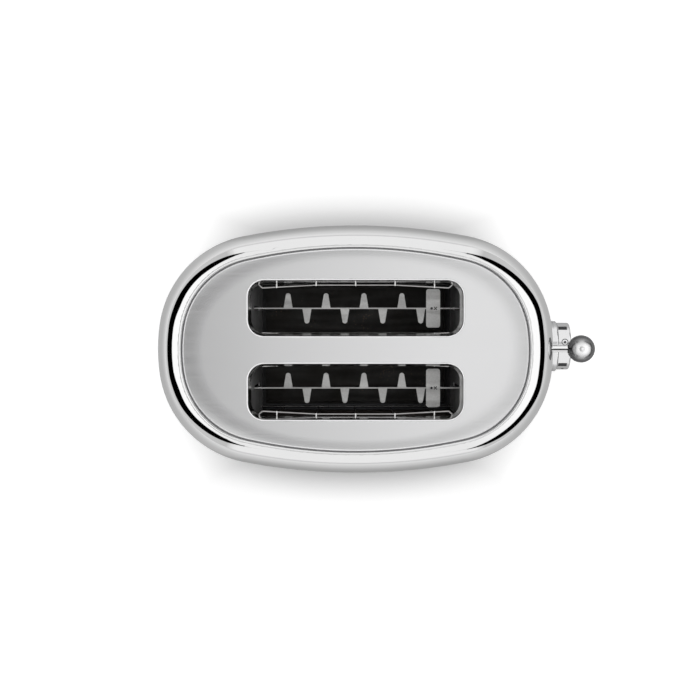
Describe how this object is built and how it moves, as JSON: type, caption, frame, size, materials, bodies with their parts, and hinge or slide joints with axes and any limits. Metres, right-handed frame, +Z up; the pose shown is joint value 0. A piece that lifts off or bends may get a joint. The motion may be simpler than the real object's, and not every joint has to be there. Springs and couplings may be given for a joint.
{
  "type": "two-slot pop-up toaster",
  "caption": "Oval pop-up toaster with a polished steel body, a brushed top plate with long bread slots, a ball-ended lever, a round browning knob and a slide-out crumb tray.",
  "frame": {"origin": "middle of the whole object's footprint, on the surface it stands on", "axes": "+X towards the lever and knob, +Z up, +Y across the slots"},
  "size_m": [0.3454, 0.194, 0.1981],
  "materials": {
    "polished_steel": "mirror polished stainless steel",
    "brushed_steel": "brushed along the slots",
    "seal_silicone": "matt",
    "black_sheet": "heat-proof black paint",
    "base_plastic": "fine moulded texture",
    "foot_rubber": "matt",
    "zinc_steel": "bright zinc plate",
    "galvanised_sheet": "galvanised sheet",
    "dark_sheet": "heat-darkened sheet",
    "carrier_steel": "matt stamped steel",
    "slide_plastic": "heat-proof plastic",
    "bright_rod": "ground and plated",
    "lever_chrome": "polished chrome plate",
    "coil_copper": "enamelled winding",
    "knob_chrome": "polished chrome plate",
    "board_laminate": "circuit board",
    "tray_steel": "thin bright sheet",
    "terminal_plastic": "pale heat-proof plastic",
    "guard_wire": "plated wire",
    "heater_mica": "mica board",
    "heater_ribbon": "resistance ribbon",
    "button_chrome": "satin chrome"
  },
  "bodies": {
    "root": {"base_bosses": "base_plastic", "base_pan": "base_plastic", "base_screws": "zinc_steel", "button_bezels": "knob_chrome", "button_switches": "slide_plastic", "chassis_floor": "galvanised_sheet", "control_board": "board_laminate", "control_bracket": "galvanised_sheet", "cord_gland": "base_plastic", "dial_potentiometer": "slide_plastic", "end_plate_far": "dark_sheet", "end_plate_lever": "dark_sheet", "guide_bracket": "galvanised_sheet", "guide_rod": "bright_rod", "heater_board_1": "heater_mica", "heater_board_2": "heater_mica", "heater_board_3": "heater_mica", "heater_board_4": "heater_mica", "heater_ribbons_1": "heater_ribbon", "heater_ribbons_2": "heater_ribbon", "knob_bezel": "knob_chrome", "knob_pod": "knob_chrome", "lever_slot_guard": "base_plastic", "lift_spring": "bright_rod", "magnet_coil": "coil_copper", "magnet_core": "dark_sheet", "outer_shell": "polished_steel", "plate_seal": "seal_silicone", "plinth_ring": "base_plastic", "rim_liner": "black_sheet", "rubber_feet": "foot_rubber", "side_shield_1": "dark_sheet", "side_shield_2": "dark_sheet", "terminal_block": "terminal_plastic", "top_plate": "brushed_steel", "tray_rails": "base_plastic"},
    "carriage": {"bread_carrier_1": "carrier_steel", "bread_carrier_2": "carrier_steel", "bread_rest_1": "carrier_steel", "bread_rest_2": "carrier_steel", "carriage_yoke": "galvanised_sheet", "slide_block": "slide_plastic", "lever_arm": "galvanised_sheet", "lever_rod": "lever_chrome", "lever_nut": "zinc_steel", "lever_ball": "lever_chrome", "latch_armature": "zinc_steel"},
    "knob": {"control_knob": "knob_chrome", "knob_set_screw": "zinc_steel", "knob_shaft": "bright_rod"},
    "tray": {"crumb_tray": "tray_steel", "tray_front": "base_plastic"},
    "guard_1": {"bread_guard_1": "guard_wire"},
    "guard_2": {"bread_guard_2": "guard_wire"},
    "guard_3": {"bread_guard_3": "guard_wire"},
    "guard_4": {"bread_guard_4": "guard_wire"},
    "button_1": {"push_button_1": "button_chrome"},
    "button_2": {"push_button_2": "button_chrome"},
    "button_3": {"push_button_3": "button_chrome"}
  },
  "joints": [
    {"name": "carriage_slide", "type": "slide", "parent": "root", "child": "carriage", "axis": [0, 0, -1], "range_m": [0, 0.06], "stiffness_N_per_m": 60, "springref_m": -0.07, "deforming": ["lift_spring"]},
    {"name": "knob_turn", "type": "hinge", "parent": "root", "child": "knob", "pos_m": [0.15975, 0, 0.062], "axis": [1, 0, 0], "range_deg": [-135, 135]},
    {"name": "tray_slide", "type": "slide", "parent": "root", "child": "tray", "axis": [-1, 0, 0], "range_m": [0, 0.2]},
    {"name": "guard_tilt_1", "type": "hinge", "parent": "root", "child": "guard_1", "pos_m": [-0.01675, 0.053, 0.04], "axis": [1, 0, 0], "range_deg": [0, 2.45]},
    {"name": "guard_tilt_2", "type": "hinge", "parent": "root", "child": "guard_2", "pos_m": [-0.01675, 0.0113, 0.04], "axis": [-1, 0, 0], "range_deg": [0, 2.45]},
    {"name": "guard_tilt_3", "type": "hinge", "parent": "root", "child": "guard_3", "pos_m": [-0.01675, -0.053, 0.04], "axis": [-1, 0, 0], "range_deg": [0, 2.45]},
    {"name": "guard_tilt_4", "type": "hinge", "parent": "root", "child": "guard_4", "pos_m": [-0.01675, -0.0113, 0.04], "axis": [1, 0, 0], "range_deg": [0, 2.45]},
    {"name": "button_press_1", "type": "slide", "parent": "root", "child": "button_1", "axis": [-1, 0, 0], "range_m": [0, 0.0015], "stiffness_N_per_m": 600, "springref_m": -0.0005},
    {"name": "button_press_2", "type": "slide", "parent": "root", "child": "button_2", "axis": [-1, 0, 0], "range_m": [0, 0.0015], "stiffness_N_per_m": 600, "springref_m": -0.0005},
    {"name": "button_press_3", "type": "slide", "parent": "root", "child": "button_3", "axis": [-1, 0, 0], "range_m": [0, 0.0015], "stiffness_N_per_m": 600, "springref_m": -0.0005}
  ],
  "couplings": [
    {"joint": "guard_tilt_1", "follows": "carriage_slide", "rad_per_m": 0.69889},
    {"joint": "guard_tilt_2", "follows": "carriage_slide", "rad_per_m": 0.69889},
    {"joint": "guard_tilt_3", "follows": "carriage_slide", "rad_per_m": 0.69889},
    {"joint": "guard_tilt_4", "follows": "carriage_slide", "rad_per_m": 0.69889}
  ]
}
